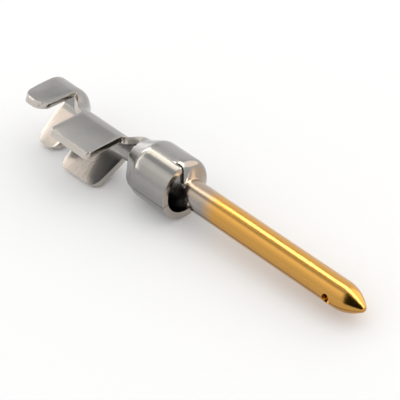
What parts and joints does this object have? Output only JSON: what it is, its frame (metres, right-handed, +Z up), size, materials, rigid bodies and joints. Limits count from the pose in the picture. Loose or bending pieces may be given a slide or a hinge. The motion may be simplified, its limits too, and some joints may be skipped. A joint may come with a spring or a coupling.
{
  "type": "crimp pin contact",
  "caption": "Stamped and formed crimp pin contact with open barrels, a rolled collar and a rolled, gold plated pin.",
  "frame": {"origin": "centre of the footprint, on the floor that the contact lies on", "axes": "+X along the contact from the crimp barrels to the pin's tip, +Z up, open side of the barrels towards -Y"},
  "size_m": [0.0156, 0.0028, 0.0024],
  "materials": {
    "plated_copper_alloy": "bright tin plate, with gold plate on the pin"
  },
  "bodies": {
    "root": {"crimp_pin_contact": "plated_copper_alloy"}
  },
  "joints": []
}
